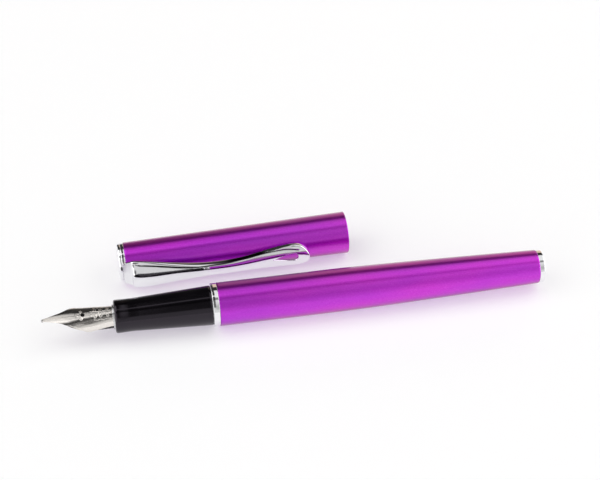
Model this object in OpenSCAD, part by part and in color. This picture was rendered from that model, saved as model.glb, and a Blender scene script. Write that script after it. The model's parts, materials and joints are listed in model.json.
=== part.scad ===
// Cartridge and converter fountain pen, laid down with its slip cap beside it.
// The pen lies along +X with the nib at the low end. Stations are measured from the nib's tip.
// The cap lies behind it, mouth towards the pen's tail, with depths measured from its mouth.

/* [Pen] */
// Length of the pen without its cap, nib tip to tail
pen_l = 122; // [121.5:0.5:123]
// Outer radius of the barrel's cylindrical stretch and of the trim ring
barrel_r = 5.25; // [5.25:0.05:5.4]
// Outer radius of the barrel where it meets the tail ring
tail_r = 4.08; // [4:0.02:4.2]
// Wall of the barrel tube
barrel_wall = 0.4; // [0.3:0.05:0.4]
// Length of the barrel that stays cylindrical
straight_l = 29; // [20:1:34]
// Width of the chrome ring at the tail
tail_ring_w = 1.55; // [1.2:0.05:1.8]

/* [Grip] */
// Length of nib that shows in front of the grip
nib_show = 17.2; // [17:0.1:17.6]
// Length of the black grip
grip_l = 23.2; // [22.8:0.1:23.4]
// Radius of the lip at the front of the grip
grip_front_r = 4; // [3.95:0.05:4]
// Radius at the back of the grip
grip_rear_r = 4.8; // [4.75:0.01:4.82]
// Width of the trim ring between grip and barrel
ring_w = 1.5; // [1.3:0.1:1.7]

/* [Nib] */
// Outer radius of the nib's shank
nib_r = 2.7; // [2.6:0.05:2.7]
// Thickness of the nib's steel
nib_t = 0.3; // [0.25:0.05:0.35]
// Whole length of the nib
nib_l = 27.5; // [26.5:0.5:28]
// Half the nib's width at its shoulders
shoulder_w = 3.2; // [3.1:0.05:3.25]
// Roll of nib and feed about the pen's axis, in degrees
nib_roll = 15; // [0:1:20]

/* [Cap] */
// Length of the cap with its finial
cap_l = 57.2; // [57:0.1:57.4]
// Outer radius at the mouth
cap_r = 5.2; // [5.2:0.02:5.24]
// Outer radius at the finial
finial_r = 4.65; // [4.6:0.05:4.7]
// Wall of the cap tube
cap_wall = 0.3; // [0.26:0.02:0.3]
// Station of the cap's mouth along the pen
cap_station = 77; // [70:1:84]
// Distance between the axes of pen and cap, at the cap's mouth
cap_offset = 20.85; // [19.5:0.05:24]
// Heading of the cap against the pen, in degrees
cap_yaw = 0.9; // [0:0.1:2]

/* [Clip] */
// Length of the clip, measured from the finial's face
clip_l = 46.7; // [46.4:0.1:47.2]
// Where the clip sits round the cap, in degrees from straight up
clip_angle = 82; // [70:1:90]
// Half the width at the root
clip_root_w = 3.7; // [3.4:0.1:3.9]
// Half the width at the waist
clip_waist_w = 1.6; // [1.4:0.1:1.9]
// Half the width of the round end
clip_end_w = 3; // [2.8:0.1:3.1]

/* [Converter] */
// Outer radius of the clear ink tube
tube_r = 3.25; // [3.2:0.05:3.3]
// Radius of the ink chamber
chamber_r = 2.75; // [2.7:0.05:2.8]
// Travel of the piston
piston_travel = 21; // [18:0.5:21]

/* [Hidden] */

$fn = 96;

fit = 0.06;       // running clearance on a radius
gap = 0.05;       // end clearance between pieces that move apart
edge = 0.12;      // small chamfers

// Stations along the pen
grip_s = nib_show;
ring_s = grip_s + grip_l;
barrel_s = ring_s + ring_w + gap;
tail_s = pen_l - tail_ring_w;
taper_s = barrel_s + straight_l;

// Grip and thread
thread_r = 4.36;
thread_root_r = 4.14;
thread_pitch = 0.8;
thread_end_s = barrel_s + 7.9;
sleeve_s = grip_s + 15.5;
sleeve_bore_r = 3.72;
sleeve_seat_r = 4.0;
bush_bore_r = thread_r + fit;
bush_l = 10;
collar_r = 3.13;
collar_back_s = grip_s + 10.5;
nipple_r = 1.55;
nipple_end_s = grip_s + 18;
nipple_bore_r = 0.75;

// Nib: flat and narrow at the tip, widest where its wings turn down, round at the grip
shoulder_s = 9.2;
wing_s = 10.7;
breather_s = 9.8;
slit_w = 0.12;
tipping_r = 0.36;

// Converter
mouth_s = nipple_end_s - 3.9;
chamber_s = nipple_end_s + 1.3;
tube_end_s = mouth_s + 42.4;
guide_l = 4;
band_s = tube_end_s - 3;
band_l = 14;
band_r = 3.62;
knob_neck_s = tube_end_s + guide_l + 0.2;
knob_s = band_s + band_l + 0.2;
knob_l = piston_travel + 0.8;
knob_r = 3.35;
rod_r = 1.25;
rod_flat = 0.95;
rod_end_s = knob_neck_s + 6.4;
seal_s = chamber_s + 0.3;
seal_l = 4.2;

// Cap, in depths from the mouth
finial_l = 0.9;
clip_ring_l = 0.8;
ring_c = cap_l - finial_l - clip_ring_l;
cap_lean = atan((cap_r - finial_r) / cap_l);
stud_r = 1.5;
liner_c = grip_l + 0.25;
clutch_c = 12;

// Places in the row's frame
pen_y = (barrel_r - cap_offset - cap_r * cos(cap_yaw)) / 2;
cap_x = cap_station - pen_l / 2;
cap_y = pen_y + cap_offset;
cap_z = cap_r * cos(cap_lean);

// ---------------------------------------------------------------- helpers

function lerp(a, b, t) = a + (b - a) * t;
function ease(a, b, t) = a + (b - a) * (1 - cos(180 * min(max(t, 0), 1))) / 2;

// A turned piece about the X axis. Points are [radius, station].
module turned(points) {
    rotate([0, 90, 0]) rotate_extrude() polygon(points);
}

// A plain tube about the X axis between two stations
module tube(s0, s1, outer, inner) {
    turned([[inner, s0], [outer, s0], [outer, s1], [inner, s1]]);
}

// A solid rod about the X axis between two stations
module rod(s0, s1, r) {
    translate([s0, 0, 0]) rotate([0, 90, 0]) cylinder(h = s1 - s0, r = r);
}

// A solid skinned over closed rings of the same number of points, in order along X
module skin(rings) {
    n = len(rings[0]);
    last = len(rings) - 1;
    sides = [for (j = [0:last - 1], i = [0:n - 1])
        [j * n + i, j * n + (i + 1) % n, (j + 1) * n + (i + 1) % n, (j + 1) * n + i]];
    polyhedron(
        [for (ring = rings) each ring],
        concat([[for (i = [n - 1:-1:0]) i]], sides, [[for (i = [0:n - 1]) last * n + i]]),
        convexity = 4
    );
}

module in_pen() {
    translate([-pen_l / 2, pen_y, barrel_r]) children();
}

// The cap's own axis: mouth at 0 and finial at -cap_l, lying on the surface
module in_cap() {
    translate([cap_x, cap_y, cap_z]) rotate([0, -cap_lean, cap_yaw]) children();
}

// The clip's frame: X from the finial's face towards the mouth, Z away from the cap's axis
module in_clip() {
    in_cap() translate([-cap_l, 0, 0]) rotate([clip_angle, 0, 0]) children();
}

// ---------------------------------------------------------------- barrel

function barrel_outer(s) =
    s <= taper_s ? barrel_r
    : barrel_r - (barrel_r - tail_r) * pow((s - taper_s) / (tail_s - taper_s), 1.35);

taper_steps = 12;
taper_stations = [for (i = [0:taper_steps]) lerp(taper_s, tail_s, i / taper_steps)];

module barrel() {
    outside = concat(
        [[barrel_r - edge, barrel_s], [barrel_r, barrel_s + edge]],
        [for (s = taper_stations) [barrel_outer(s), s]]
    );
    inside = concat(
        [for (i = [taper_steps:-1:0])
            let (s = taper_stations[i]) [barrel_outer(s) - barrel_wall, s]],
        [[barrel_r - barrel_wall, barrel_s]]
    );
    color("mediumorchid") in_pen() turned(concat(outside, inside));
}

module thread_bush() {
    outer = barrel_r - barrel_wall - 0.02;
    color("goldenrod") in_pen() tube(barrel_s + 0.1, barrel_s + bush_l, outer, bush_bore_r);
}

bush_end_r = 2.4;
tail_bore_r = 1.2;
tail_bush_l = 6;

module tail_ring() {
    r = tail_r - 0.02;
    color("silver") in_pen() turned([
        [bush_end_r + 0.02, tail_s],
        [r, tail_s],
        [r, pen_l - 0.35],
        [r - 0.25, pen_l - 0.1],
        [r - 0.6, pen_l - 0.05],
        [bush_end_r + 0.02, pen_l - 0.05],
    ]);
}

module tail_button() {
    color("silver") in_pen() turned([
        [0, tail_s - 5],
        [tail_bore_r - 0.04, tail_s - 5],
        [tail_bore_r - 0.04, tail_s + 0.6],
        [bush_end_r, tail_s + 0.6],
        [bush_end_r, pen_l - 0.1],
        [bush_end_r - 0.3, pen_l],
        [0, pen_l],
    ]);
}

module tail_bush() {
    front_s = tail_s - tail_bush_l;
    outer = barrel_outer(tail_s) - barrel_wall - 0.04;
    color("dimgray") in_pen() turned([
        [tail_bore_r, front_s],
        [outer, front_s],
        [outer, tail_s],
        [bush_end_r, tail_s],
        [bush_end_r, tail_s + 0.58],
        [tail_bore_r, tail_s + 0.58],
    ]);
}

// ---------------------------------------------------------------- grip

module grip_section() {
    neck_s = grip_s + 3;
    color([0.06, 0.06, 0.07]) in_pen() turned([
        [collar_r + 0.02, grip_s + 0.15],
        [grip_front_r - 0.55, grip_s],
        [grip_front_r - 0.15, grip_s + 0.12],
        [grip_front_r, grip_s + 0.45],
        [grip_front_r, grip_s + 0.9],
        [grip_front_r - 0.12, neck_s],
        [grip_rear_r - 0.02, ring_s - 0.4],
        [grip_rear_r - 0.1, ring_s - gap],
        [sleeve_seat_r + 0.02, ring_s - gap],
        [sleeve_seat_r + 0.02, sleeve_s],
        [sleeve_bore_r + 0.03, sleeve_s],
        [sleeve_bore_r + 0.03, collar_back_s + 2],
        [collar_r + 0.02, collar_back_s + 2],
    ]);
}

module trim_ring() {
    color("silver") in_pen() turned([
        [bush_bore_r, ring_s],
        [barrel_r - edge, ring_s],
        [barrel_r, ring_s + edge],
        [barrel_r, ring_s + ring_w - edge],
        [barrel_r - edge, ring_s + ring_w],
        [bush_bore_r, ring_s + ring_w],
    ]);
}

module thread_sleeve() {
    first_s = barrel_s + 0.8;
    turns = floor((thread_end_s - first_s - 0.6) / thread_pitch);
    ridges = [for (i = [0:turns - 1]) let (s = first_s + i * thread_pitch) each [
        [thread_root_r, s],
        [thread_r, s + 0.3],
        [thread_r, s + 0.42],
        [thread_root_r, s + 0.72],
    ]];
    color("silver") in_pen() turned(concat(
        [
            [sleeve_bore_r, sleeve_s],
            [sleeve_seat_r, sleeve_s],
            [sleeve_seat_r, ring_s - gap],
            [thread_r, ring_s - gap],
            [thread_r, barrel_s + 0.4],
            [thread_root_r, barrel_s + 0.6],
        ],
        ridges,
        [
            [thread_root_r, thread_end_s - 0.2],
            [thread_root_r - 0.2, thread_end_s],
            [sleeve_bore_r, thread_end_s],
        ]
    ));
}

module nib_collar() {
    seat_r = nib_r + fit;
    lip_r = seat_r + 0.22;
    flange_s = collar_back_s + 2;
    color("silver") in_pen() turned([
        [seat_r, grip_s - 0.4],
        [lip_r - 0.06, grip_s - 0.4],
        [lip_r, grip_s - 0.3],
        [lip_r, grip_s + 0.3],
        [collar_r, grip_s + 0.3],
        [collar_r, flange_s],
        [sleeve_bore_r, flange_s],
        [sleeve_bore_r, flange_s + 1.4],
        [nipple_r, flange_s + 1.4],
        [nipple_r, nipple_end_s - 0.3],
        [nipple_r - 0.3, nipple_end_s],
        [nipple_bore_r, nipple_end_s],
        [nipple_bore_r, collar_back_s + 0.6],
        [seat_r, collar_back_s + 0.6],
    ]);
}

// ---------------------------------------------------------------- nib and feed

// The nib's section is an arc of an ellipse: its half width, its depth and the height of its top
function nib_wide(s) =
    s < wing_s ? lerp(2.6, shoulder_w, sin(90 * min(s / 8, 1)))
    : ease(shoulder_w, nib_r, (s - wing_s) / (grip_s - wing_s));
function nib_deep(s) = s < 12 ? ease(1, 2.5, (s - 5) / 7) : lerp(2.5, nib_r, ahead_of_grip(s, 12));
function nib_top(s) = 2.15 + (nib_r - 2.15) * pow(ahead_of_grip(s, 0), 2.2);

// How far a station is on its way from another station to the grip, from 0 to 1
function ahead_of_grip(s, from) = min(max((s - from) / (grip_s - from), 0), 1);

// Half the nib's width seen from above, in front of its shoulders
function nib_half(s) =
    s < 4.6 ? 0.27 + 0.19 * pow(s, 1.22)
    : 1.5 + (shoulder_w - 1.54) * pow(sin(90 * (s - 4.6) / (shoulder_s - 4.6)), 1.15);

// Half the angle that the arc spans
function nib_angle(s) =
    s < shoulder_s ? asin(nib_half(s) / nib_wide(s))
    : s < wing_s ? ease(asin(nib_half(shoulder_s) / nib_wide(shoulder_s)), 100,
        (s - shoulder_s) / (wing_s - shoulder_s))
    : 84 + 16 * pow(1 - ahead_of_grip(s, wing_s), 1.7);

// The arc at a station, drawn a distance inside the nib's face
function nib_arc(s, inset, from, to, steps) = [for (i = [0:steps])
    let (a = lerp(from, to, i / steps), r = nib_deep(s))
    [s, (nib_wide(s) - inset) * sin(a), nib_top(s) - r + (r - inset) * cos(a)]];

module in_nib() {
    in_pen() rotate([nib_roll, 0, 0]) children();
}

nib_arc_steps = 20;

module nib() {
    stations = concat(
        [0.45, 1.2],
        [for (i = [0:10]) lerp(2, shoulder_s, i / 10)],
        [for (i = [1:5]) lerp(shoulder_s, wing_s, i / 5)],
        [11.4, 12.3, 13.4, 14.6, 16, grip_s, nib_l]
    );
    color("gainsboro") in_nib() difference() {
        skin([for (s = stations) let (a = nib_angle(s)) concat(
            nib_arc(s, 0, -a, a, nib_arc_steps),
            nib_arc(s, nib_t, a, -a, nib_arc_steps)
        )]);
        union() {
            translate([-1, -slit_w / 2, 0]) cube([breather_s + 1, slit_w, 5]);
            translate([breather_s, 0, 0]) cylinder(h = 5, r = 0.5);
        }
        tipping_ball(0.01);
    }
}

module tipping_ball(extra) {
    translate([tipping_r, 0, nib_top(0) - nib_t]) sphere(r = tipping_r + extra, $fn = 48);
}

module nib_tipping() {
    color("silver") in_nib() difference() {
        tipping_ball(0);
        translate([-1, -slit_w / 2, 0]) cube([3, slit_w, 4]);
    }
}

feed_r = nib_r - 0.02;
feed_front_s = 5;
feed_full_s = 11;
feed_under = nib_t + 0.06;

// One ring of the feed's front: an arc under the nib, and half an ellipse below it
function feed_ring(s) =
    let (
        room = nib_wide(s) - feed_under,
        plan = lookup(s, [[feed_front_s, 0.4], [6.5, 0.8], [8.5, 1.5], [10.5, 2.3], [12.5, 2.5]]),
        half = min(plan, room * 0.97),
        a = asin(half / room),
        side_z = nib_arc(s, feed_under, a, a, 1)[0].z,
        ahead = max(feed_full_s - s, 0) / (feed_full_s - feed_front_s),
        belly_z = lerp(0.1 - feed_r, 1.3, pow(ahead, 1.15))
    )
    concat(
        nib_arc(s, feed_under, -a, a, 10),
        [for (i = [1:11]) let (b = 180 * i / 12)
            [s, half * cos(b), side_z - (side_z - belly_z) * sin(b)]]
    );

// The feed's full round underside seen from the side, ending below the nib's wings
module feed_side() {
    polygon([
        [feed_full_s, -5], [feed_full_s, -1], [12.2, -0.8], [14, -0.5], [grip_s, -0.2],
        [collar_back_s + 1, -0.2], [collar_back_s + 1, -5],
    ]);
}

module feed() {
    fin_pitch = 0.78;
    stations = concat(
        [for (i = [0:12]) lerp(feed_front_s, feed_full_s, i / 12)],
        [11.7, 12.5, 14, 15.6, grip_s - 0.1]
    );
    color([0.08, 0.08, 0.09]) in_nib() difference() {
        union() {
            skin([for (s = stations) feed_ring(s)]);
            intersection() {
                rod(feed_full_s - 1, collar_back_s, feed_r);
                rotate([90, 0, 0]) translate([0, 0, -5]) linear_extrude(10) feed_side();
            }
            rod(grip_s - 0.6, collar_back_s, nib_r - feed_under - 0.04);
            rod(collar_back_s - 0.1, collar_back_s + 5, nipple_bore_r - 0.07);
        }
        for (i = [0:7])
            translate([feed_full_s + 0.3 + i * fin_pitch, -4, -4]) cube([0.32, 8, 2.9]);
        translate([7.5, -0.15, 1.25]) cube([collar_back_s - 10.5, 0.3, 4]);
    }
}

// ---------------------------------------------------------------- converter

module converter_tube() {
    color([0.9, 0.93, 0.96, 0.4]) in_pen() turned([
        [nipple_r + fit, mouth_s],
        [tube_r - 0.5, mouth_s],
        [tube_r - 0.2, mouth_s + 0.4],
        [tube_r - 0.2, chamber_s - 0.5],
        [tube_r, chamber_s],
        [tube_r, tube_end_s],
        [chamber_r, tube_end_s],
        [chamber_r, chamber_s + 0.2],
        [chamber_r - 0.6, chamber_s - 0.1],
        [nipple_r + fit, chamber_s - 0.1],
    ]);
}

module converter_band() {
    color("silver") in_pen() turned([
        [tube_r + 0.03, band_s],
        [band_r, band_s],
        [band_r, band_s + band_l],
        [tube_r + 0.03, band_s + band_l],
    ]);
}

// A hole for the rod with two flats
module flatted(s0, s1, r, flat) {
    intersection() {
        rod(s0, s1, r);
        translate([s0 - 1, -r - 1, -flat]) cube([s1 - s0 + 2, 2 * r + 2, 2 * flat]);
    }
}

module rod_guide() {
    color([0.12, 0.12, 0.13]) in_pen() difference() {
        rod(tube_end_s, tube_end_s + guide_l, tube_r);
        flatted(tube_end_s - 1, tube_end_s + guide_l + 1, rod_r + fit, rod_flat + fit);
    }
}

module piston_seal() {
    lip = chamber_r - 0.05;
    waist = chamber_r - 0.4;
    color([0.2, 0.2, 0.22]) in_pen() turned([
        [0, seal_s],
        [lip - 0.35, seal_s],
        [lip, seal_s + 0.3],
        [lip, seal_s + 0.8],
        [waist, seal_s + 1.2],
        [waist, seal_s + seal_l - 1.2],
        [lip, seal_s + seal_l - 0.8],
        [lip, seal_s + seal_l],
        [rod_r, seal_s + seal_l],
        [rod_r, seal_s + 1.8],
        [0, seal_s + 1.8],
    ]);
}

module piston_rod() {
    start_s = seal_s + 1.8;
    plain_s = seal_s + seal_l + 0.6;
    pitch = 1.2;
    turns = floor((rod_end_s - plain_s - 0.3) / pitch);
    core = rod_r - 0.2;
    ridges = [for (i = [0:turns - 1]) let (s = plain_s + i * pitch) each [
        [core, s],
        [rod_r, s + 0.35],
        [rod_r, s + 0.7],
        [core, s + 1.05],
    ]];
    color([0.12, 0.12, 0.13]) in_pen() intersection() {
        turned(concat(
            [[0, start_s], [rod_r - 0.02, start_s], [rod_r - 0.02, plain_s - 0.5]],
            ridges,
            [[core, rod_end_s], [0, rod_end_s]]
        ));
        union() {
            rod(start_s - 1, seal_s + seal_l + 0.1, rod_r + 1);
            flatted(start_s, rod_end_s + 1, rod_r + 1, rod_flat);
        }
    }
}

module converter_knob() {
    neck_r = tube_r - 0.05;
    bore_r = rod_r + fit;
    end_s = knob_s + knob_l;
    grooves = 20;
    color([0.1, 0.1, 0.11]) in_pen() difference() {
        turned([
            [bore_r, knob_neck_s],
            [neck_r, knob_neck_s],
            [neck_r, knob_s],
            [knob_r, knob_s],
            [knob_r, end_s - 1.2],
            [knob_r - 0.35, end_s - 0.4],
            [knob_r - 1.2, end_s],
            [0, end_s],
            [0, end_s - 1.1],
            [bore_r, end_s - 1.1],
        ]);
        for (i = [0:grooves - 1])
            rotate([i * 360 / grooves, 0, 0])
                translate([knob_s + 1.5, -0.14, knob_r - 0.16]) cube([knob_l - 4, 0.28, 1]);
    }
}

// ---------------------------------------------------------------- cap

function cap_outer(c) = lerp(cap_r, finial_r, c / cap_l);

module cap_tube() {
    end_l = 0.7;
    lip = 0.1;
    color("mediumorchid") in_cap() turned([
        [cap_r - cap_wall + lip, 0],
        [cap_r - lip, 0],
        [cap_outer(lip), -lip],
        [cap_outer(ring_c), -ring_c],
        [stud_r + 0.6, -ring_c],
        [stud_r + 0.6, end_l - ring_c],
        [cap_outer(ring_c) - cap_wall, end_l - ring_c],
        [cap_outer(lip) - cap_wall, -lip],
    ]);
}

module finial() {
    r = finial_r - 0.02;
    back = cap_l - finial_l;
    color("silver") in_cap() turned([
        [0, -cap_l],
        [r - 1.2, -cap_l],
        [r - 0.35, 0.1 - cap_l],
        [r, 0.4 - cap_l],
        [r, -back],
        [stud_r, -back],
        [stud_r, 6.2 - back],
        [0, 6.2 - back],
    ]);
}

module cap_nut() {
    front = ring_c - 0.7;
    color("goldenrod") in_cap() difference() {
        translate([-front, 0, 0]) rotate([0, 90, 0]) cylinder(h = 3.2, r = 2.8, $fn = 6);
        rod(-front - 1, 5 - front, stud_r + 0.03);
    }
}

module inner_cap() {
    outer = cap_outer(ring_c) - cap_wall - 0.06;
    bore = 3.45;
    wall_c = liner_c + 23;
    pocket_r = 3;
    back = ring_c - 0.72;
    color([0.14, 0.14, 0.15]) in_cap() turned([
        [bore, -liner_c],
        [outer, -liner_c],
        [outer, -back],
        [pocket_r, -back],
        [pocket_r, -wall_c - 1.4],
        [0, -wall_c - 1.4],
        [0, -wall_c],
        [bore, -wall_c],
    ]);
}

module cap_clutch() {
    depth = clutch_c + 10;
    outer = cap_outer(depth) - cap_wall - 0.06;
    // The grip's radius where the sleeve's mouth stops when the cap is closed
    grip_there = lerp(grip_front_r - 0.12, grip_rear_r, (grip_l - clutch_c - 3) / (grip_l - 3));
    inner = grip_there + 0.06;
    bead = grip_front_r - 0.03;
    color([0.14, 0.14, 0.15]) in_cap() difference() {
        turned([
            [inner, -clutch_c],
            [outer, -clutch_c],
            [outer, -depth],
            [inner - 0.1, -depth],
            [inner - 0.1, 0.6 - depth],
            [bead, 0.9 - depth],
            [bead, 1.5 - depth],
            [inner, 2.2 - depth],
        ]);
        for (i = [0:3])
            rotate([45 + i * 90, 0, 0]) translate([-depth - 1, -0.3, 3]) cube([7, 0.6, 3]);
    }
}

// ---------------------------------------------------------------- clip

root_u = 3.7;     // where the clip's spring part leaves its root
waist_u = 24.5;
end_u = 43;
clip_edge = 0.35; // thickness of the clip's rim

// Half the clip's width at a distance from the finial's face
function clip_half(u) =
    u < root_u ? ease(2.9, clip_root_w, u / root_u)
    : u < waist_u ? ease(clip_root_w, clip_waist_w, pow((u - root_u) / (waist_u - root_u), 0.8))
    : u < end_u ? ease(clip_waist_w, clip_end_w, pow((u - waist_u) / (end_u - waist_u), 1.3))
    : clip_end_w * sqrt(max(1 - pow((u - end_u) / (clip_l - end_u), 2), 0.004));

// Radius of the clip's underside from the cap's axis: it rises from the ring like a bent
// spring, stands off most at the waist, comes close at the end and flares at the tip
clip_foot_u = finial_l + clip_ring_l;
clip_foot_r = finial_r + 0.07;
clip_high_r = 7.05;
clip_low_r = 5.75;
clip_flare = 0.9;

function clip_under(u) =
    u < clip_foot_u - 0.1 ? 3.4
    : u < waist_u ? lerp(clip_foot_r, clip_high_r,
        pow(sin(90 * max(u - clip_foot_u, 0) / (waist_u - clip_foot_u)), 0.6))
    : u < end_u ? ease(clip_high_r, clip_low_r, (u - waist_u) / (end_u - waist_u))
    : clip_low_r + clip_flare * pow((u - end_u) / (clip_l - end_u), 2);

// Height of the clip's domed face above its rim
function clip_dome(u) =
    u < root_u ? ease(0.2, 1.15, (u - 0.9) / (root_u - 0.9))
    : u < end_u ? 1.15 + 0.35 * sin(180 * (u - root_u) / (2 * (end_u - root_u)))
    : 1.5 * sqrt(max(1 - pow((u - end_u) / (clip_l - end_u), 2), 0.01));

arc_steps = 14;

// One ring of the clip's outline: the flat underside and the dome over it
function clip_outline(u) = concat(
    [[u, -clip_half(u), clip_under(u)]],
    [for (i = [0:arc_steps])
        let (a = 180 * i / arc_steps)
        [u, -clip_half(u) * cos(a), clip_under(u) + clip_edge + clip_dome(u) * sin(a)]],
    [[u, clip_half(u), clip_under(u)]]
);

module eye() {
    translate([0, 0, 4]) linear_extrude(6) hull() {
        translate([end_u - 0.3, 0]) circle(r = 1.15, $fn = 32);
        translate([end_u - 5.1, 0]) circle(r = 0.15, $fn = 16);
    }
}

module clip_ring() {
    steps = 6;
    foot = [finial_l + 0.05, clip_foot_u - 0.25, clip_foot_u - 0.11];
    arm = [for (i = [0:steps]) lerp(clip_foot_u - 0.1, root_u, i / steps)];
    color("silver") {
        in_cap() tube(-ring_c - clip_ring_l, -ring_c, finial_r - 0.01, stud_r + 0.03);
        in_clip() skin([for (u = concat(foot, arm)) clip_outline(u)]);
    }
}

module clip() {
    steps = 44;
    tip_steps = 10;
    body = [for (i = [0:steps]) lerp(root_u + 0.03, end_u, i / steps)];
    tip = [for (i = [1:tip_steps]) end_u + (clip_l - end_u) * sin(90 * i / tip_steps)];
    color("silver") in_clip() difference() {
        skin([for (u = concat(body, tip)) clip_outline(u)]);
        eye();
    }
}

// ---------------------------------------------------------------- all nodes

barrel();
thread_bush();
tail_ring();
tail_button();
tail_bush();
grip_section();
trim_ring();
thread_sleeve();
nib_collar();
nib();
nib_tipping();
feed();
converter_tube();
converter_band();
rod_guide();
piston_seal();
piston_rod();
converter_knob();
cap_tube();
clip_ring();
clip();
finial();
cap_nut();
inner_cap();
cap_clutch();
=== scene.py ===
import json
import math

import bmesh
import bpy
import numpy as np
from mathutils import Matrix, Vector


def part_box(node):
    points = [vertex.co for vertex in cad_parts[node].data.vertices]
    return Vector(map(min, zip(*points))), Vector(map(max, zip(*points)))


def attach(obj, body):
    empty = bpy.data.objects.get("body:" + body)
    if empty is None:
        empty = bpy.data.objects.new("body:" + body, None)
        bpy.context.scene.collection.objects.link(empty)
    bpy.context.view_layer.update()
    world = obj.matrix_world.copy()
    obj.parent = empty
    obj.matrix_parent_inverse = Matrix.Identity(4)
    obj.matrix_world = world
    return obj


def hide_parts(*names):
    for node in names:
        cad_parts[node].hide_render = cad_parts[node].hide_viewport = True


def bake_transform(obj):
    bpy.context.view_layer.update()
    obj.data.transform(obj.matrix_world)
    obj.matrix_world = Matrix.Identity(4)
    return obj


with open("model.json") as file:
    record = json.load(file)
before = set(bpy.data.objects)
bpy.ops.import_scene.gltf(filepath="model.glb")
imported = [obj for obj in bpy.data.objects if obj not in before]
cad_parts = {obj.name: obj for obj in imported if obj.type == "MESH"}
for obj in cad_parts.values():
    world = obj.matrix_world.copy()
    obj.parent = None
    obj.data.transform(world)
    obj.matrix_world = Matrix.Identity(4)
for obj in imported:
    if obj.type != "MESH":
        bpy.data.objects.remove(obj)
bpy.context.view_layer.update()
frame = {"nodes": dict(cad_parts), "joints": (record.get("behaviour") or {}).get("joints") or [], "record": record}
MM = 0.001


# ------------------------------------------------------------------ materials

# Most values of a noise texture lie in this range
NOISE = (0.3, 0.7)
PLASTIC_IOR = 1.49


class Nodes:
    """A node tree with short ways to add nodes and join them."""

    def __init__(self, tree):
        self.tree = tree

    def add(self, kind, **settings):
        node = self.tree.nodes.new(kind)
        for key, value in settings.items():
            setattr(node, key, value)
        return node

    def feed(self, socket, value):
        """Links a socket to another node's output, or sets it to a constant."""
        if hasattr(value, "is_output"):
            self.tree.links.new(value, socket)
        else:
            socket.default_value = value

    def fill(self, node, **inputs):
        for key, value in inputs.items():
            self.feed(node.inputs[key.replace("_", " ")], value)
        return node

    def ramp(self, fac, stops):
        """Colours by position; a single number stands for a grey."""
        node = self.fill(self.add("ShaderNodeValToRGB"), Fac=fac)
        while len(node.color_ramp.elements) < len(stops):
            node.color_ramp.elements.new(0.5)
        for element, (position, colour) in zip(node.color_ramp.elements, stops):
            element.position = position
            element.color = (*colour, 1) if isinstance(colour, tuple) else (colour, colour, colour, 1)
        return node.outputs["Color"]

    def rerange(self, value, source, target=(0, 1), kind="LINEAR"):
        node = self.add("ShaderNodeMapRange", interpolation_type=kind)
        self.fill(node, Value=value, From_Min=source[0], From_Max=source[1])
        self.fill(node, To_Min=target[0], To_Max=target[1])
        return node.outputs["Result"]

    def mix(self, fac, a, b):
        node = self.add("ShaderNodeMix", data_type="RGBA")
        for index, value in zip((0, 6, 7), (fac, a, b)):
            self.feed(node.inputs[index], value)
        return node.outputs[2]

    def compute(self, operation, *values):
        node = self.add("ShaderNodeMath", operation=operation)
        for socket, value in zip(node.inputs, values):
            self.feed(socket, value)
        return node.outputs[0]


class Material(Nodes):
    """A material built round its Principled BSDF."""

    def __init__(self, name):
        self.mat = bpy.data.materials.new(name)
        self.mat.use_nodes = True
        super().__init__(self.mat.node_tree)
        self.bsdf = self.tree.nodes["Principled BSDF"]

    def set(self, **inputs):
        self.fill(self.bsdf, **inputs)

    def noise(self, scale, detail, roughness=0.5):
        """Noise over the object's coordinates, scaled along each axis on its own."""
        where = self.add("ShaderNodeTexCoord").outputs["Object"]
        scaled = self.fill(self.add("ShaderNodeMapping"), Vector=where, Scale=scale).outputs["Vector"]
        node = self.add("ShaderNodeTexNoise")
        return self.fill(node, Vector=scaled, Scale=1.0, Detail=detail, Roughness=roughness).outputs["Fac"]

    def engraving_and_painted_lines(self):
        """1 in the nib's engraved lines and in the clip's painted dark reflection lines, and 0 beside them."""
        return self.add("ShaderNodeAttribute", attribute_name="engraving_and_painted_lines").outputs["Fac"]

    def bump(self, height, strength, distance):
        node = self.fill(self.add("ShaderNodeBump"), Height=height, Strength=strength, Distance=distance)
        self.set(Normal=node.outputs["Normal"])


def violet_metal():
    m = Material("violet_metal")
    drift = m.noise((26, 120, 120), 3)
    grain = m.noise((2600, 5200, 5200), 3, 0.6)
    fleck = m.noise((6200, 6200, 6200), 2, 0.6)
    deep = m.ramp(drift, [(0.36, (0.44, 0.008, 0.60)), (0.50, (0.51, 0.009, 0.62)),
                          (0.64, (0.58, 0.010, 0.61))])
    light = m.ramp(drift, [(0.36, (0.56, 0.030, 0.74)), (0.64, (0.72, 0.045, 0.74))])
    around = m.add("ShaderNodeTangent", direction_type="RADIAL", axis="X").outputs["Tangent"]
    m.set(Base_Color=m.mix(m.ramp(grain, [(0.42, 0), (0.74, 0.6)]), deep, light),
          Roughness=m.rerange(fleck, NOISE, (0.30, 0.38)), Metallic=1.0, Specular_Tint=(0.62, 0.75, 0.33, 1),
          Anisotropic=0.4, Anisotropic_Rotation=0.25, Tangent=around, Coat_Weight=1.0, Coat_Roughness=0.22)
    m.bump(grain, 0.06, 0.000008)
    return m.mat


def chrome(name, tint, rough):
    m = Material(name)
    haze = m.noise((260, 700, 700), 3)
    scratch = m.noise((900, 5200, 5200), 2, 0.7)
    face = m.ramp(haze, [(0.3, tuple(c * 0.96 for c in tint)), (0.7, tint)])
    # Where a mesh carries the line mask (the clip), the chrome turns near black: painted dark reflection lines.
    m.set(Base_Color=m.mix(m.engraving_and_painted_lines(), face, (0.020, 0.012, 0.022, 1)),
          Roughness=m.rerange(scratch, NOISE, rough), Metallic=1.0)
    m.bump(scratch, 0.03, 0.000004)
    return m.mat


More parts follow.
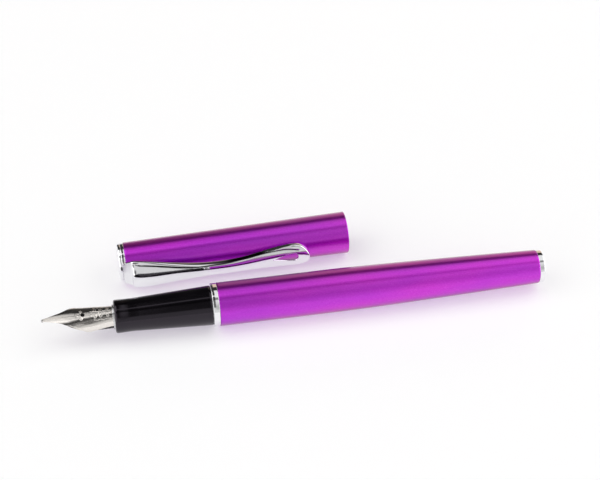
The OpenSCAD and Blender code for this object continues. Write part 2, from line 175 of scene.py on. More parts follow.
def black_gloss():
    m = Material("black_gloss")
    haze = m.noise((180, 420, 420), 4)
    scratch = m.noise((700, 6000, 6000), 2, 0.75)
    # The violet specular tint paints a violet cast into the grip's reflections.
    m.set(Base_Color=m.ramp(haze, [(0.3, (0.0012, 0.0010, 0.0014)), (0.7, (0.003, 0.0025, 0.0034))]),
          Roughness=m.rerange(scratch, NOISE, (0.06, 0.11)), IOR=PLASTIC_IOR,
          Specular_Tint=(0.93, 0.82, 1.0, 1))
    m.bump(scratch, 0.02, 0.000003)
    return m.mat


def nib_steel():
    m = Material("nib_steel")
    brush = m.noise((900, 5000, 5000), 4, 0.7)
    cut = m.engraving_and_painted_lines()
    face = m.ramp(brush, [(0.35, (0.78, 0.74, 0.70)), (0.65, (0.90, 0.86, 0.82))])
    m.set(Base_Color=m.mix(cut, face, (0.80, 0.76, 0.72, 1)),
          Roughness=m.mix(cut, m.ramp(brush, [(0.3, 0.10), (0.7, 0.16)]), (0.50, 0.50, 0.50, 1)),
          Metallic=1.0)
    m.bump(brush, 0.03, 0.000004)
    return m.mat


def plastic(name, low, high, rough, relief=0.05, grain=1400):
    m = Material(name)
    fine = m.noise((grain,) * 3, 3)
    m.set(Base_Color=m.ramp(m.noise((260,) * 3, 3), [(0.3, low), (0.7, high)]),
          Roughness=m.rerange(fine, NOISE, rough), IOR=PLASTIC_IOR)
    m.bump(fine, relief, 0.00002)
    return m.mat


def machined(name, low, high, rough):
    m = Material(name)
    turning = m.noise((9000, 300, 300), 3, 0.7)
    m.set(Base_Color=m.ramp(m.noise((300,) * 3, 3), [(0.3, low), (0.7, high)]),
          Roughness=m.rerange(turning, NOISE, rough), Metallic=1.0)
    m.bump(turning, 0.10, 0.000008)
    return m.mat


def clear_plastic():
    m = Material("clear_plastic")
    haze = m.noise((420,) * 3, 4)
    m.set(Base_Color=m.ramp(haze, [(0.3, (0.90, 0.93, 0.96)), (0.7, (0.97, 0.98, 1.0))]),
          Roughness=m.rerange(haze, NOISE, (0.03, 0.09)), IOR=PLASTIC_IOR, Transmission_Weight=0.92)
    m.bump(haze, 0.02, 0.00001)
    return m.mat


MAT = {
    "violet_metal": violet_metal(),
    "chrome_trim": chrome("chrome_trim", (0.90, 0.90, 0.92), (0.03, 0.075)),
    "black_gloss": black_gloss(),
    "nib_steel": nib_steel(),
    "tipping_metal": chrome("tipping_metal", (0.50, 0.49, 0.49), (0.14, 0.24)),
    "feed_plastic": plastic("feed_plastic", (0.008, 0.008, 0.009), (0.016, 0.015, 0.017), (0.28, 0.42)),
    "inner_plastic": plastic("inner_plastic", (0.018, 0.018, 0.020), (0.034, 0.033, 0.036), (0.38, 0.55),
                             relief=0.12),
    "clear_plastic": clear_plastic(),
    "seal_rubber": plastic("seal_rubber", (0.020, 0.020, 0.022), (0.034, 0.034, 0.036), (0.55, 0.70),
                           relief=0.15, grain=2600),
    "thread_metal": machined("thread_metal", (0.60, 0.60, 0.61), (0.74, 0.74, 0.75), (0.20, 0.32)),
    "brass": machined("brass", (0.62, 0.40, 0.14), (0.80, 0.56, 0.24), (0.20, 0.34)),
}

for part in frame["record"]["subparts"]:
    mesh = frame["nodes"][part["node"]].data
    mesh.materials.clear()
    mesh.materials.append(MAT[part["material_slot"]])


# ------------------------------------------------------------------ places

# Points this close to an end, in metres, count as its ring
RIM_BAND = 0.00022


def size(node, axis):
    lo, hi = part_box(node)
    return hi[axis] - lo[axis]


def middle(node):
    lo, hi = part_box(node)
    return (lo + hi) / 2


def end_centre(node, heading, last):
    """Middle of the ring of points at one end of a CAD node along a heading."""
    co = np.array([v.co for v in frame["nodes"][node].data.vertices])
    along = co @ np.array(heading)
    end = along.max() if last else along.min()
    near = co[np.abs(along - end) < RIM_BAND]
    return Vector((near.min(0) + near.max(0)) / 2)


def placement(origin, x, y, z):
    """A local frame in millimetres, with its origin and its three directions."""
    return Matrix.Translation(origin) @ Matrix((x, y, z)).transposed().to_4x4() @ Matrix.Scale(MM, 4)


# The pen lies along X: stations run from the nib's tip, in millimetres
tip_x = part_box("nib_tipping")[0].x
pen_centre = middle("barrel")
PEN = Matrix.Translation((tip_x, pen_centre.y, pen_centre.z)) @ Matrix.Scale(MM, 4)


def stations(node):
    """Where a CAD node starts and ends along the pen."""
    return [(corner.x - tip_x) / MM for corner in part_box(node)]


# The cap's own axis: X runs from the finial's face to the mouth
slide = next(j for j in frame["joints"] if j["name"] == "cap_slide")
heading = -Vector(slide["axis"])
cap_mouth = end_centre("cap_tube", heading, True)
cap_back = end_centre("finial", heading, False)
cap_x = (cap_mouth - cap_back).normalized()
cap_y = Vector((0, 0, 1)).cross(cap_x).normalized()
CAP = placement(cap_back, cap_x, cap_y, cap_x.cross(cap_y))
cap_l = (cap_mouth - cap_back).length / MM

# The clip's frame: Z away from the cap's axis
away = middle("clip") - cap_back
clip_z = (away - away.dot(cap_x) * cap_x).normalized()
CLIP = placement(cap_back, cap_x, clip_z.cross(cap_x), clip_z)


# ------------------------------------------------------------------ mesh helpers

# Points closer together than this, in metres, become one
WELD = 0.0000015
# An outline that would end on the axis stops at this radius, in millimetres
AXIS = 0.001


def lerp(a, b, t):
    return a + (b - a) * t


def clamp(t):
    return min(max(t, 0.0), 1.0)


def ease(a, b, t):
    """From a to b as t goes from 0 to 1, with a level start and end."""
    return a + (b - a) * (1 - math.cos(math.pi * clamp(t))) / 2


def swell(t):
    """From 0 to 1 as t does, steep at first and level at the end."""
    return math.sin(math.pi / 2 * clamp(t))


def halfway(stops):
    return [(a + b) / 2 for a, b in zip(stops, stops[1:])]


def make(name, points, faces, place, slot, sharp, engraving_and_painted_lines=None):
    """A mesh object from points in a local frame, smooth except at edges sharper than the angle."""
    mesh = bpy.data.meshes.new(name)
    mesh.from_pydata([place @ Vector(p) for p in points], [], faces)
    # The line mask kept on the mesh: the nib's engraving, and on the clip the painted dark reflection lines.
    if engraving_and_painted_lines is not None:
        layer = mesh.attributes.new("engraving_and_painted_lines", "FLOAT", "POINT")
        layer.data.foreach_set("value", np.asarray(engraving_and_painted_lines, np.float32))
    bm = bmesh.new()
    bm.from_mesh(mesh)
    bmesh.ops.remove_doubles(bm, verts=bm.verts, dist=WELD)
    bmesh.ops.recalc_face_normals(bm, faces=bm.faces)
    for f in bm.faces:
        f.smooth = True
    for e in bm.edges:
        e.smooth = len(e.link_faces) == 2 and e.calc_face_angle(0) < math.radians(sharp)
    bm.to_mesh(mesh)
    bm.free()
    mesh.materials.append(MAT[slot])
    obj = bpy.data.objects.new(name, mesh)
    bpy.context.scene.collection.objects.link(obj)
    return obj


def stand_for(obj, body, node):
    """Lets an object move with a body and take the place of a CAD node."""
    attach(obj, body)
    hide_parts(node)


def grid_faces(first, rows, cols):
    """Faces over a grid of points, which are counted row by row from the first."""
    return [(k, k + 1, k + cols + 1, k + cols)
            for i in range(rows - 1) for k in range(first + i * cols, first + (i + 1) * cols - 1)]


def wall_faces(line, other):
    """Faces between two lines of points."""
    return [(a, b, d, c) for a, c, b, d in zip(line, line[1:], other, other[1:])]


def edge(s, r, offsets):
    """Points of an outline near one of its edges, by their offsets from it."""
    return [(s + ds, r + dr) for ds, dr in offsets]


def rounded(corners, steps=5):
    """A closed outline of (station, radius, fillet) corners with its corners rounded."""
    out = []
    for i, (x, r, fillet) in enumerate(corners):
        p = np.array((x, r))
        if fillet <= 0:
            out.append((x, r))
            continue
        to_prev = np.array(corners[i - 1][:2]) - p
        to_next = np.array(corners[(i + 1) % len(corners)][:2]) - p
        l_prev, l_next = np.linalg.norm(to_prev), np.linalg.norm(to_next)
        cut = min(fillet, l_prev * 0.49, l_next * 0.49)
        a, b = p + to_prev / l_prev * cut, p + to_next / l_next * cut
        for t in np.linspace(0, 1, steps + 1):
            out.append(tuple((1 - t) ** 2 * a + 2 * t * (1 - t) * p + t ** 2 * b))
    return out


def turned(name, outline, place, slot, body, node, segments=128, closed=True, sharp=40.0):
    """A turned piece: its outline of (station, radius) points goes round X."""
    pts, faces = [], []
    n = len(outline)
    for x, r in outline:
        for k in range(segments):
            a = 2 * math.pi * k / segments
            pts.append((x, r * math.sin(a), r * math.cos(a)))
    for i in range(n if closed else n - 1):
        j = (i + 1) % n
        for k in range(segments):
            m = (k + 1) % segments
            faces.append((i * segments + k, i * segments + m, j * segments + m, j * segments + k))
    stand_for(make(name, pts, faces, place, slot, sharp), body, node)


# ------------------------------------------------------------------ barrel and tail

barrel_s, tail_s = stations("barrel")
end_s = stations("tail_button")[1]
barrel_r = size("barrel", 2) / 2 / MM
tail_ring_r = size("tail_ring", 2) / 2 / MM
tail_r = tail_ring_r + 0.02
taper_s = barrel_s + 29.0
barrel_wall = 0.4


def barrel_outer(s):
    along = max(s - taper_s, 0) / (tail_s - taper_s)
    return barrel_r - (barrel_r - tail_r) * along ** 1.35


taper_rows = np.linspace(taper_s, tail_s, 41)[:-1]
tube = edge(barrel_s, barrel_r, [(0.02, -0.20), (0, -0.12), (0.03, -0.04), (0.11, 0)])
tube += [(s, barrel_r) for s in np.linspace(barrel_s + 0.3, taper_s, 13)[:-1]]
tube += [(s, barrel_outer(s)) for s in (*taper_rows, tail_s - 0.3)]
tube += edge(tail_s, tail_r, [(-0.08, 0), (-0.01, -0.05), (-0.01, -barrel_wall)])
tube += [(s, barrel_outer(s) - barrel_wall) for s in taper_rows[::-1]]
tube += [(barrel_s + 0.02, barrel_r - barrel_wall)]
turned("barrel_tube", tube, PEN, "violet_metal", "barrel", "barrel", 160)

tail_bore = 2.42
tail_ring = rounded([
    (tail_s, tail_bore, 0), (tail_s, tail_ring_r, 0.06), (tail_s + 0.9, tail_ring_r, 0.02),
    (end_s - 0.28, tail_ring_r - 0.03, 0.25), (end_s - 0.05, tail_ring_r - 0.53, 0.2),
    (end_s - 0.05, tail_bore, 0.05),
])
turned("tail_ring_polished", tail_ring, PEN, "chrome_trim", "barrel", "tail_ring")

button_r, button_s = 2.4, tail_s + 0.6
stem_r, stem_s = 1.16, tail_s - 5
button = [(stem_s, AXIS), (stem_s, stem_r), (button_s, stem_r), (button_s, button_r)]
button += edge(end_s, button_r, [(-0.14, 0), (-0.06, -0.04), (-0.01, -0.16), (0, -0.35), (0, -0.70),
                                 (-0.03, -0.78), (-0.03, -0.90), (0, -0.98)])
button += [(end_s, AXIS)]
turned("tail_button_polished", button, PEN, "chrome_trim", "barrel", "tail_button", 96, False)


# ------------------------------------------------------------------ grip and ring

grip_s, grip_end = stations("grip_section")
front_r, rear_r = 4.0, size("grip_section", 2) / 2 / MM
neck_s, neck_dip = grip_s + 4.6, 0.055
flange_s, seat_s = grip_s + 12.5, grip_s + 15.5
front_bore, flange_bore, sleeve_bore = 3.15, 3.75, 4.02

# The lip at the nib's end, then a shallow dip, then the cone of the grip
shell = edge(grip_s, front_r, [
    (0.55, front_bore - front_r), (0.16, -0.83), (0.05, -0.74), (0, -0.58), (0.02, -0.40), (0.10, -0.20),
    (0.24, -0.07), (0.42, 0), (0.70, 0), (1.3, -0.008), (2.2, -0.035), (3.2, -0.062), (3.9, -0.068),
    (4.6, -0.058),
])
shell += [(lerp(neck_s, grip_end - 0.3, t), lerp(front_r - neck_dip, rear_r - 0.01, t))
          for t in (*np.linspace(0, 1, 15)[1:-1], 0.985, 1)]
shell += edge(grip_end, rear_r, [(-0.12, -0.03), (-0.02, -0.09), (0, -0.16)])
shell += [(grip_end, sleeve_bore), (seat_s, sleeve_bore), (seat_s, flange_bore), (flange_s, flange_bore),
          (flange_s, front_bore)]
turned("grip_shell", shell, PEN, "black_gloss", "grip", "grip_section", 160)

collar_s, collar_end = stations("nib_collar")
flange_end, floor_s = flange_s + 1.4, grip_s + 11.1
collar_bore, rim_r, collar_r, flange_r = 2.76, 2.98, 3.13, 3.72
nipple_bore, nipple_r = 0.75, 1.55
collar = rounded([
    (collar_s, collar_bore, 0.04), (collar_s, rim_r, 0.10), (grip_s + 0.3, rim_r, 0),
    (grip_s + 0.3, collar_r, 0), (flange_s, collar_r, 0), (flange_s, flange_r, 0.1),
    (flange_end, flange_r, 0.1), (flange_end, nipple_r, 0.05), (collar_end, nipple_r, 0.3),
    (collar_end, nipple_bore, 0.05), (floor_s, nipple_bore, 0), (floor_s, collar_bore, 0),
])
turned("collar_turned", collar, PEN, "thread_metal", "grip", "nib_collar", 96)

ring_s, ring_end = stations("trim_ring")
ring_bore = 4.42
ring = rounded([
    (ring_s, ring_bore, 0.03), (ring_s, barrel_r, 0.16), ((ring_s + ring_end) / 2, barrel_r, 0),
    (ring_end, barrel_r, 0.12), (ring_end, ring_bore, 0.03),
], 6)
turned("trim_ring_polished", ring, PEN, "chrome_trim", "trim_ring", "trim_ring", 160)


# ------------------------------------------------------------------ nib

nib_s, nib_end = stations("nib")
nib_r, nib_t = 2.7, 0.3
tine_s, shoulder_s, wing_s = 4.6, 9.2, 10.7
tip_half, tine_half = 0.27, 1.5
tip_wide, shoulder_wide = 2.6, 3.2
tip_deep, back_deep, deep_s0, deep_s1 = 1.5, 2.5, 6, 12
tip_top = 2.15
wing_angle, shank_angle = 100, 84
breather_s, breather_r, half_slit = 9.8, 0.5, 0.045
NIB = PEN @ Matrix.Rotation(math.radians(15), 4, "X")


def to_grip(s, start):
    """Share of the way from a station to the grip's front."""
    return clamp((s - start) / (grip_s - start))


def nib_wide(s):
    """Half axis across of the ellipse that the nib's section follows."""
    if s < wing_s:
        return lerp(tip_wide, shoulder_wide, swell(s / 8))
    return ease(shoulder_wide, nib_r, to_grip(s, wing_s))


def nib_deep(s):
    """Half axis downwards of the same ellipse."""
    if s < deep_s1:
        return ease(tip_deep, back_deep, (s - deep_s0) / (deep_s1 - deep_s0))
    return lerp(back_deep, nib_r, to_grip(s, deep_s1))


def nib_top(s):
    return lerp(tip_top, nib_r, to_grip(s, 0) ** 1.15)


def nib_half(s):
    """Half of the nib's width in front of its shoulders."""
    if s < tine_s:
        return tip_half + 0.19 * s ** 1.22
    shoulder_half = shoulder_wide - 0.04
    return lerp(tine_half, shoulder_half, swell((s - tine_s) / (shoulder_s - tine_s)) ** 1.15)


def nib_angle(s):
    """Angle from the nib's middle line to its edge."""
    if s < shoulder_s:
        return math.asin(nib_half(s) / nib_wide(s))
    if s < wing_s:
        at_shoulder = math.asin(nib_half(shoulder_s) / nib_wide(shoulder_s))
        return ease(at_shoulder, math.radians(wing_angle), (s - shoulder_s) / (wing_s - shoulder_s))
    return math.radians(lerp(shank_angle, wing_angle, (1 - to_grip(s, wing_s)) ** 1.7))


def nib_spot(s, a, inset):
    """A point of the nib's section, an arc of an ellipse, at a distance inside its face."""
    deep = nib_deep(s)
    return (s, (nib_wide(s) - inset) * math.sin(a), nib_top(s) - deep + (deep - inset) * math.cos(a))


def slit_half(s):
    hole = max(breather_r ** 2 - (s - breather_s) ** 2, 0)
    return max(half_slit if s < breather_s else 0.0, math.sqrt(hole))


def nib_angles(s, cols):
    """Angles over one half of the nib's section, from the slit to the edge."""
    slit = math.asin(min(slit_half(s) / nib_wide(s), 0.99))
    return [lerp(slit, nib_angle(s), c / cols) for c in range(cols + 1)]


def curl(s, w, radii, turns, steps=26):
    """A spiral of the generic scroll ornament, as points of (station, distance from the slit)."""
    spiral = [(lerp(*radii, k / steps), lerp(*turns, k / steps)) for k in range(steps + 1)]
    return [(s + r * math.cos(a), w + r * math.sin(a)) for r, a in spiral]


ORNAMENT = [
    curl(12.6, 0.95, (0.55, 0.10), (-2.6, 4.4)), curl(14.1, 0.80, (0.62, 0.12), (5.6, -1.2)),
    curl(9.3, 0.95, (0.40, 0.08), (-1.0, 5.4)), curl(15.6, 0.95, (0.48, 0.10), (-2.4, 4.0)),
    [(8.2, 0.35), (8.9, 0.50), (9.5, 0.52)], [(11.5, 0.55), (12.0, 0.42), (12.8, 0.38), (13.6, 0.20)],
    [(14.6, 0.30), (15.4, 0.36), (16.4, 0.25), (17.2, 0.30)],
    [(12.4, 1.62), (13.2, 1.80), (14.0, 1.62), (14.8, 1.82), (15.6, 1.62), (16.4, 1.80), (17.2, 1.66)],
]
# Border lines along the nib's edge: distance from the edge, first station, width of the line
BORDERS = [(0.30, 6.6, 0.075), (0.50, 7.6, 0.05)]
border_end, ornament_w, engraved_depth = 17.3, 0.085, 0.028


def polyline_gap(p, line):
    """Distance of points from a polyline."""
    best = np.full(len(p), np.inf)
    for a, b in zip(line[:-1], line[1:]):
        a, b = np.array(a), np.array(b)
        d = b - a
        t = np.clip((p - a) @ d / max(d @ d, 1e-9), 0, 1)
        best = np.minimum(best, np.linalg.norm(p - a - t[:, None] * d, axis=1))
    return best


def groove(gap, width):
    """Depth of a groove, from 1 in its middle to 0 at a width's distance."""
    t = np.clip((gap - width * 0.35) / (width * 0.65), 0, 1)
    return 1 - t * t * (3 - 2 * t)


def engraving_at(s, from_slit, from_edge):
    depth = np.zeros(len(s))
    for gap, start, width in BORDERS:
        inside = (s > start) & (s < border_end)
        depth = np.maximum(depth, groove(np.abs(from_edge - gap), width) * inside)
    spots = np.column_stack((s, from_slit))
    for line in ORNAMENT:
        depth = np.maximum(depth, groove(polyline_gap(spots, line), ornament_w))
    return depth


def nib_stops():
    """Stations of the nib's sections, denser round the breather hole."""
    step = 0.09
    stops = [nib_s + i * step for i in range(int((grip_s - nib_s) / step))]
    stops += [breather_s - breather_r * math.cos(math.pi * i / 14) for i in range(15)]
    stops += list(np.linspace(grip_s + 0.01, nib_end, 17))
    return sorted(set(round(float(s), 4) for s in stops))


def build_nib():
    stops = nib_stops()
    top_cols, low_cols = 50, 16
    rows = [(side, s) for side in (-1, 1) for s in stops]
    places = []
    for side, s in rows:
        row = [nib_spot(s, side * a, 0) for a in nib_angles(s, top_cols)]
        steps = [math.dist(p, q) for p, q in zip(row, row[1:])]
        across = np.cumsum([slit_half(s)] + steps)
        places += [(s, w, across[-1] - w) for w in across]
    cut = engraving_at(*np.array(places).T)
    inset = iter(engraved_depth * cut)
    pts = [nib_spot(s, side * a, next(inset)) for side, s in rows for a in nib_angles(s, top_cols)]
    low_first = len(pts)
    pts += [nib_spot(s, side * a, nib_t) for side, s in rows for a in nib_angles(s, low_cols)]
    faces = []
    n, m, u = len(stops), top_cols + 1, low_cols + 1
    for half in (0, 1):
        top, low = half * n * m, low_first + half * n * u
        faces += grid_faces(top, n, m) + grid_faces(low, n, u)
        faces += wall_faces(range(top + m - 1, top + n * m, m), range(low + u - 1, low + n * u, u))
        slit_wall = wall_faces(range(top, top + n * m, m), range(low, low + n * u, u))
        faces += [face for face, s in zip(slit_wall, halfway(stops)) if slit_half(s) > 0]
        for i in (0, n - 1):
            top_row, low_row = range(top + i * m, top + (i + 1) * m), range(low + i * u, low + (i + 1) * u)
            faces.append([*top_row, *reversed(low_row)])
    engraving_and_painted_lines = np.append(cut, np.zeros(len(pts) - low_first))
    return make("nib_blade", pts, faces, NIB, "nib_steel", 40, engraving_and_painted_lines)


stand_for(build_nib(), "nib_unit", "nib")


def build_tipping():
    """The writing point: a small ball in two halves at the nib's tip."""
    ball = size("nib_tipping", 0) / 2 / MM
    flat, gap = 0.9, 0.04
    rings, cols = 15, 17
    pts, faces = [], []
    for side in (-1, 1):
        first = len(pts)
        for a in np.linspace(0, math.pi, rings):
            for b in np.linspace(-math.pi / 2, math.pi / 2, cols):
                out = ball * math.sin(a)
                pts.append((ball - ball * math.cos(a), side * (out * math.cos(b) * flat + gap),
                            nib_top(0) - nib_t + out * math.sin(b)))
        faces += grid_faces(first, rings, cols)
        # The flat side towards the slit
        faces += wall_faces(range(first, first + rings * cols, cols),
                            range(first + cols - 1, first + rings * cols, cols))
    return make("nib_point", pts, faces, NIB, "tipping_metal", 50)


stand_for(build_tipping(), "nib_unit", "nib_tipping")


# ------------------------------------------------------------------ cap

finial_r, cap_r, cap_wall = 4.65, 5.2, 0.3
band_u, band_end = 0.9, 1.7
floor_end, hole_r = band_end + 0.7, 2.1


def cap_outer(u):
    return lerp(finial_r, cap_r, u / cap_l)


wall = [(band_end + 0.02, hole_r)] + edge(band_end, cap_outer(band_end), [(0.01, -0.08), (0.05, -0.02)])
cap_rows = (band_end + 0.14, *np.linspace(band_end + 0.4, cap_l - 0.3, 41), cap_l - 0.10)
wall += [(u, cap_outer(u)) for u in cap_rows]
wall += edge(cap_l, cap_r, [(-0.03, -0.04), (0, -0.11), (-0.01, -0.18), (-0.07, -0.25), (-0.16, -cap_wall)])
wall += [(u, cap_outer(u) - cap_wall) for u in np.linspace(cap_l - 0.5, floor_end, 21)]
wall += [(floor_end, hole_r)]
turned("cap_shell", wall, CAP, "violet_metal", "cap", "cap_tube", 160)

disc_r, stud_r, stud_end, dish = 4.63, 1.5, 7.1, 0.10
disc = [(stud_end, AXIS), (stud_end, stud_r), (band_u, stud_r)]
disc += edge(band_u, disc_r, [(-0.01, -0.08), (-0.06, -0.02), (-0.16, 0)])
disc += edge(0, disc_r, [(0.42, -0.01), (0.26, -0.06), (0.13, -0.17), (0.05, -0.35), (0.01, -0.58),
                         (0, -0.93), (0.02, -1.13), (0.07, -1.25), (dish, -1.43)])
disc += [(dish, AXIS)]
turned("finial_polished", disc, CAP, "chrome_trim", "cap", "finial", closed=False, sharp=55)

band_r, band_bore = finial_r - 0.01, stud_r + 0.03
band = rounded([
    (band_u, band_bore, 0), (band_u, band_r, 0.07), (band_end, band_r, 0.07), (band_end, band_bore, 0),
])
turned("clip_band", band, CAP, "chrome_trim", "cap", "clip_ring")


# ------------------------------------------------------------------ clip

clip_l = 46.7
root_u, waist_u, end_u = 3.7, 24.5, 43.0
neck_w, root_w, waist_w, end_w = 2.9, 3.7, 1.6, 3.0
foot_r, high_r, low_r = 4.72, 7.05, 5.75
lift_u, lift = 40, 0.9
edge_h, sheet_t, rim_w = 0.35, 0.4, 0.26
eye_u0, eye_u1, eye_r = 37.75, 43.85, 1.15
eye_centre = eye_u1 - eye_r
eye_bevel, bevel_w = 0.12, 0.14
upper_w, lower_w, line_depth = 0.15, 0.19, 0.04
CLIP_COLS, RIM_COLS = 30, 6


def clip_half(u):
    """Half of the clip's width."""
    if u < root_u:
        return ease(neck_w, root_w, (u - band_u) / (root_u - band_u))
    if u < waist_u:
        return ease(root_w, waist_w, ((u - root_u) / (waist_u - root_u)) ** 0.8)
    if u < end_u:
        return ease(waist_w, end_w, ((u - waist_u) / (end_u - waist_u)) ** 1.3)
    return end_w * math.sqrt(max(1 - ((u - end_u) / (clip_l - end_u)) ** 2, 0.0))


def clip_under(u):
    """Distance of the clip's underside from the cap's axis."""
    if u < waist_u:
        return lerp(foot_r, high_r, swell((u - band_end) / (waist_u - band_end)) ** 0.6)
    lifted = lift * (max(u - lift_u, 0) / (clip_l - lift_u)) ** 3
    return ease(high_r, low_r, (u - waist_u) / (end_u - waist_u)) + lifted


def clip_dome(u):
    return 1.2 + 0.25 * swell((u - root_u) / (end_u - root_u))


def eye_half(u):
    """Half the width of the drop-shaped eye: a round end and a long point towards the root."""
    if not eye_u0 < u < eye_u1:
        return 0.0
    if u > eye_centre:
        return math.sqrt(max(eye_r ** 2 - (u - eye_centre) ** 2, 0))
    return eye_r * swell((u - eye_u0) / (eye_centre - eye_u0)) ** 1.15


def ridge(u):
    """Distance of the clip's ridge above its middle line."""
    return 0.2 + 0.5 * ease(0, 1, (u - 4) / 12) + 0.2 * ease(0, 1, (u - 30) / 10)


def crease(u):
    """Distance of the fine crease above the clip's middle line."""
    fall, rise, drop = ease(0, 1, (u - 4) / 15), ease(0, 1, (u - 24) / 15), ease(0, 1, (u - 40) / 5)
    return 2.7 - 1.25 * fall + 0.85 * rise - 0.5 * drop


def clip_lines():
    """The two dark lines on the clip's face, shallow grooves painted near black as dark reflections, as points of
    (distance from the cap's end, height).
    """
    upper = [(3.75, 3.1), (4.2, 2.85)] + [(u, crease(u)) for u in range(5, 45)]
    lower = [(3.3, 3.0), (3.55, 1.4), (4.0, 0.3)] + [(u, ridge(u)) for u in range(5, 46)] + [(46.2, 0.75)]
    return upper, lower


def clip_face(u, y, gap):
    """Height of the clip's face: a broad facet below the ridge, a steeper one above it, round edges."""
    root = ease(1, 0, (u - 4.5) / 10)
    high, below = clip_dome(u) + 0.35 * root, ridge(u) - y
    broad = high - 0.09 * below - 0.03 * below * abs(below)
    steep = high + 0.44 * below
    face = (broad + steep) / 2 - math.hypot((broad - steep) / 2, lerp(0.035, 0.075, root))
    rim = min(gap / rim_w, 1)
    step = ease(0.12, 1, (u - 2.75) / 0.5)
    return max(face, 0.15) * math.sqrt(max(1 - (1 - rim) ** 2, 0)) * step


def clip_column(u, c):
    """Distance of a column of points from the middle line, denser near the rim and round the eye."""
    half, eye = clip_half(u), eye_half(u)
    shank = half * (1 - (c if c >= RIM_COLS else c * c / RIM_COLS) / CLIP_COLS)
    arm = (half + eye) / 2 + (half - eye) / 2 * math.cos(math.pi * c / CLIP_COLS)
    return lerp(shank, arm, ease(0, 1, (u - 31) / (eye_u0 - 31)))


def clip_stops():
    """Stations of the clip's sections, denser at the root's step and round the eye."""
    step, step_end, eye_near = 2.75, 3.25, eye_u0 - 1
    stops = [0.95, 1.4, 2.0, 2.5]
    for a, b, count in ((step, step_end, 8), (step_end, eye_near, 90), (eye_near, eye_u0, 4)):
        stops += [lerp(a, b, i / count) for i in range(count)]
    stops += [lerp(eye_u0, eye_centre, (i / 24) ** 1.3) for i in range(24)]
    stops += [eye_centre + eye_r * swell(i / 14) for i in range(15)]
    return stops + [lerp(eye_u1, clip_l, swell(i / 16)) for i in range(1, 17)]


def build_clip():
    stops = clip_stops()
    n, m = len(stops), CLIP_COLS + 1
    grid = np.array([(u, clip_column(u, c)) for u in stops for c in range(m)])
    rim_gap = polyline_gap(grid, [(u, clip_half(u)) for u in stops])
    eye_gap = polyline_gap(grid, [(u, eye_half(u)) for u in stops if eye_u0 <= u <= eye_u1])
    upper, lower = clip_lines()
    pts, faces, engraving_and_painted_lines = [], [], []
    for side in (-1, 1):
        spots = grid * (1, side)
        upper_cut = groove(polyline_gap(spots, upper), upper_w)
        lower_cut = groove(polyline_gap(spots, lower), lower_w)
        cut = np.maximum(upper_cut, lower_cut)
        tops, lows = [], []
        for (u, y), to_rim, to_eye, deep in zip(spots, rim_gap, eye_gap, cut):
            bevel = eye_bevel * max(1 - to_eye / bevel_w, 0) ** 2
            height = edge_h + clip_face(u, y, to_rim) - bevel - line_depth * deep
            tops.append((u, y, clip_under(u) + height))
            # The sheet is thinner round the eye
            raised = max(height - sheet_t, 0) * ease(1, 0, (to_eye - 0.1) / 0.8)
            lows.append((u, y, clip_under(u) + raised))
        top = len(pts)
        low = top + n * m
        pts += tops + lows
        # The lines' mask goes onto the mesh, where the chrome paints them near black: painted dark reflections.
        engraving_and_painted_lines += [*cut, *np.zeros(n * m)]
        faces += grid_faces(top, n, m) + grid_faces(low, n, m)
        faces += wall_faces(range(top, low, m), range(low, low + n * m, m))
        eye_wall = wall_faces(range(top + m - 1, low, m), range(low + m - 1, low + n * m, m))
        faces += [face for face, u in zip(eye_wall, halfway(stops)) if eye_half(u) > 0]
        faces.append([*range(top, top + m), *reversed(range(low, low + m))])
    return make("clip_spring", pts, faces, CLIP, "chrome_trim", 50, engraving_and_painted_lines)


clip = build_clip()
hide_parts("clip")
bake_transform(clip)


# ------------------------------------------------------------------ floor

bpy.ops.mesh.primitive_plane_add(size=6.0, location=(0, 0, -0.00002))
floor = bpy.context.object
floor.name = "floor"
# The floor glows faintly, painted light as of a sheet lit from below, which keeps the shadows light; the glow is
# lavender over a greenish base, so the lit floor stays white and the shadows are painted lavender.
paper = Material("paper")
paper.set(Base_Color=(0.58, 0.622, 0.545, 1), Roughness=0.55, Specular_IOR_Level=0.25,
          Emission_Color=(0.42, 0.378, 0.455, 1), Emission_Strength=1.0)
floor.data.materials.append(paper.mat)


# ------------------------------------------------------------------ light

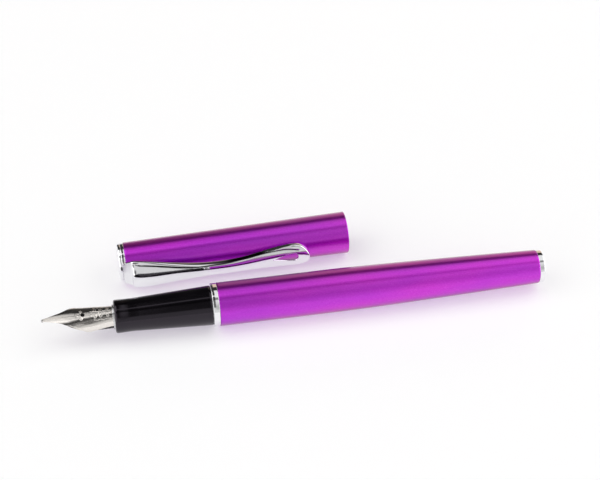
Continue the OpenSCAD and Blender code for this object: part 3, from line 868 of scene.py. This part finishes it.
# Light by the angle round the pen's axis: 0 is the front horizon, 90 is overhead and 180 is the back.
# MIDDLE lies straight across the pen, the two sides lean a little to its nib and to its tail, and ENDS is
# what lies along it.
WARM = (0.78, 0.60, 0.47)
MIDDLE = [(0, 0.75), (24, 0.68), (31, 0.12), (62, 0.12), (68, 0.03), (84, 0.04), (86, 0.7), (91, 0.7),
          (94, 0.04), (136, 0.03), (141, 0.03), (160, 0.04), (168, 0.10), (180, 0.2)]
NIB_SIDE = [(0, 0.75), (12, 0.72), (24, 0.64), (61, 0.64), (66, 0.04), (76, 0.04), (84, 1.6), (118, 1.5),
            (125, 0.03), (180, 0.03)]
TAIL_SIDE = [(0, 0.75), (12, 0.72), (20, 0.52), (32, 0.48), (46, 0.68), (64, 0.82), (69, 0.25), (77, 0.25),
             (84, 0.92), (120, 0.82), (125, 0.03), (146, 0.03), (151, WARM), (180, WARM)]
ENDS = [(0, 1.95), (40, 1.95), (44, 1.2), (50, 1.2), (54, 1.95), (126, 1.95), (131, 0.25), (146, 0.25),
        (152, 0.9), (180, 1.8)]

world = bpy.data.worlds.new("studio")
bpy.context.scene.world = world
world.use_nodes = True
dome = Nodes(world.node_tree)
toward = dome.add("ShaderNodeSeparateXYZ")
dome.feed(toward.inputs[0], dome.add("ShaderNodeTexCoord").outputs["Generated"])
angle = dome.compute("ARCTAN2", toward.outputs["Z"], dome.compute("MULTIPLY", toward.outputs["Y"], -1.0))
half_turns = dome.compute("DIVIDE", angle, math.pi)


def strips(bands):
    return dome.ramp(half_turns, [(degrees / 180, light) for degrees, light in bands])


def blend(along, limits, inside, beyond):
    """One light up to the first limit and the other from the second limit on."""
    return dome.mix(dome.rerange(along, limits, kind="SMOOTHSTEP"), inside, beyond)


lights = blend(toward.outputs["X"], (-0.055, -0.075), strips(MIDDLE), strips(NIB_SIDE))
lights = blend(toward.outputs["X"], (0.055, 0.07), lights, strips(TAIL_SIDE))
lights = blend(dome.compute("ABSOLUTE", toward.outputs["X"]), (0.38, 0.62), lights, strips(ENDS))
dome.fill(dome.tree.nodes["Background"], Color=lights, Strength=1.0)


# ------------------------------------------------------------------ camera

scene = bpy.context.scene
scene.view_settings.view_transform = "Standard"

azimuth, elevation, distance = math.radians(-9.978), math.radians(40.82), 0.43146
aim = Vector((0.00535, 0.01533, 0.0))
behind = Vector((math.sin(azimuth) * math.cos(elevation), -math.cos(azimuth) * math.cos(elevation),
                 math.sin(elevation)))
cam = bpy.data.cameras.new("camera")
cam.lens = 102
cam.sensor_width = 36
cam.clip_start, cam.clip_end = 0.01, 20
camera = bpy.data.objects.new("camera", cam)
camera.location = aim + behind * distance
camera.rotation_mode = "QUATERNION"
camera.rotation_quaternion = (-behind).to_track_quat("-Z", "Y")
scene.collection.objects.link(camera)
scene.camera = camera

bpy.context.view_layer.update()
